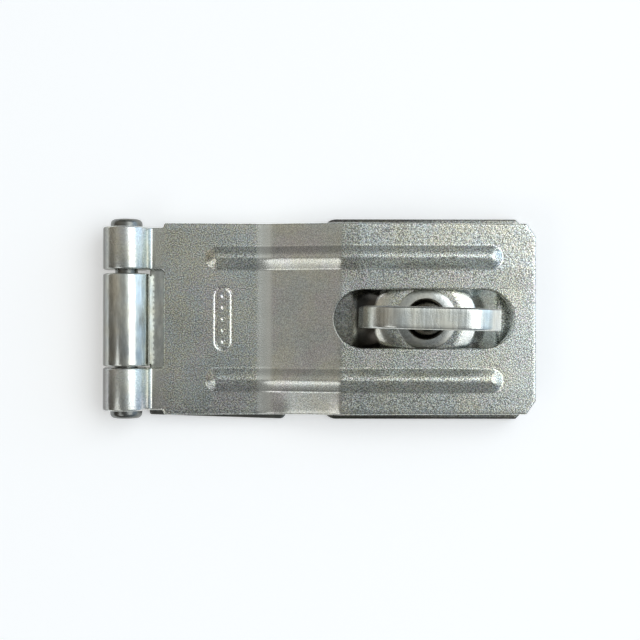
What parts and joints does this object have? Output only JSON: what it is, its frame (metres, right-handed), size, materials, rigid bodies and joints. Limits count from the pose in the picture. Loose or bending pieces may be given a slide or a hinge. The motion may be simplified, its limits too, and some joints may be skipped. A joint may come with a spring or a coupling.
{
  "type": "swivel staple safety hasp",
  "caption": "Hinged slotted hasp strap, pressed with two stiffening beads, that closes over a turning padlock staple on its own screw-on plate.",
  "frame": {"origin": "on the mounting plane, under the middle of the closed hasp's box", "axes": "+X from the hinge barrel to the strap's free end, +Y across the strap along the hinge pin, +Z away from the door"},
  "size_m": [0.089, 0.0418, 0.026],
  "materials": {
    "zinc_sheet": "bright zinc plate over rolled sheet steel, finely pebbled",
    "zinc_rolled": "bright zinc plate over a rolled knuckle and plain plate, smooth",
    "zinc_pin": "dull zinc plate over a peened steel pin",
    "zinc_staple": "bright zinc plate over a blanked steel staple, with fine cross marks",
    "zinc_washer": "bright zinc plate over a steel washer"
  },
  "bodies": {
    "staple_base": {"staple_plate": "zinc_rolled", "thrust_washer": "zinc_washer"},
    "staple": {"swivel_staple": "zinc_staple", "retaining_washer": "zinc_washer"},
    "hinge_base": {"hinge_leaf": "zinc_rolled"},
    "strap": {"hasp_strap": "zinc_sheet", "hinge_pin": "zinc_pin"}
  },
  "joints": [
    {"name": "hinge_half_lift", "type": "slide", "parent": "staple_base", "child": "hinge_base", "axis": [0, 0, 1], "range_m": [0, 0.03]},
    {"name": "strap_hinge", "type": "hinge", "parent": "hinge_base", "child": "strap", "pos_m": [-0.0397, 0, 0.0048], "axis": [0, -1, 0], "range_deg": [0, 180]},
    {"name": "staple_turn", "type": "hinge", "parent": "staple_base", "child": "staple", "pos_m": [0.02225, 0, 0.0054], "axis": [0, 0, 1], "continuous": true}
  ]
}
